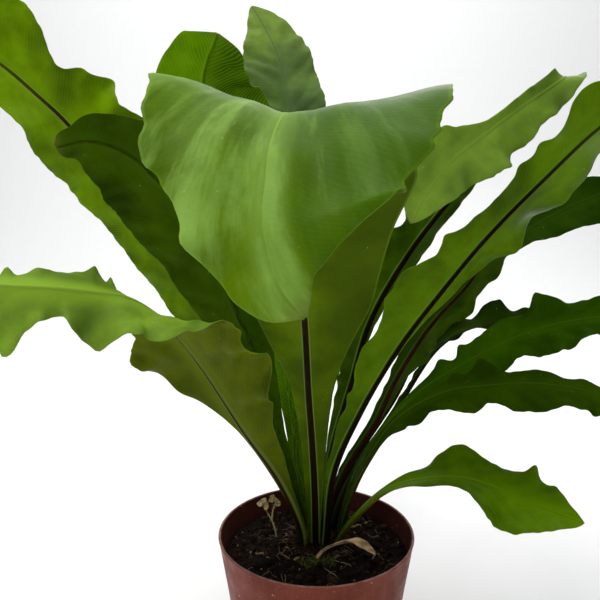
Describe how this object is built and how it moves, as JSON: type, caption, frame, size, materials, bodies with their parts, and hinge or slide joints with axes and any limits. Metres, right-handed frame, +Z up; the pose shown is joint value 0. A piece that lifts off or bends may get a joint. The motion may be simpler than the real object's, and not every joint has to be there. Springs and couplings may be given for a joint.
{
  "type": "potted birds nest fern",
  "caption": "Bird's nest fern with broad waved fronds in a plain tapered plastic nursery pot, with its soil.",
  "frame": {"origin": "centre of the pot's underside", "axes": "+Z up, -Y the side that faces the viewer, +X to the viewer's right"},
  "size_m": [0.407, 0.3888, 0.4231],
  "materials": {
    "pot": "satin, dusty",
    "soil": "rough",
    "crown": "rough",
    "frond": "satin",
    "dry_frond": "matt",
    "weed": "matt"
  },
  "bodies": {
    "root": {"pot": "pot", "soil": "soil", "crown": "crown", "frond_front": "frond", "frond_left_high": "frond", "frond_left_dark": "frond", "frond_left_round": "frond", "frond_back_tip": "frond", "frond_left_low": "frond", "frond_right_high": "frond", "frond_right_front": "frond", "frond_right_mid": "frond", "frond_right_far": "frond", "frond_right_dark": "frond", "frond_right_light": "frond", "frond_right_low": "frond", "frond_right_lowest": "frond", "frond_back_left": "frond", "frond_back_right": "frond", "dry_frond": "dry_frond", "weed": "weed"}
  },
  "joints": []
}
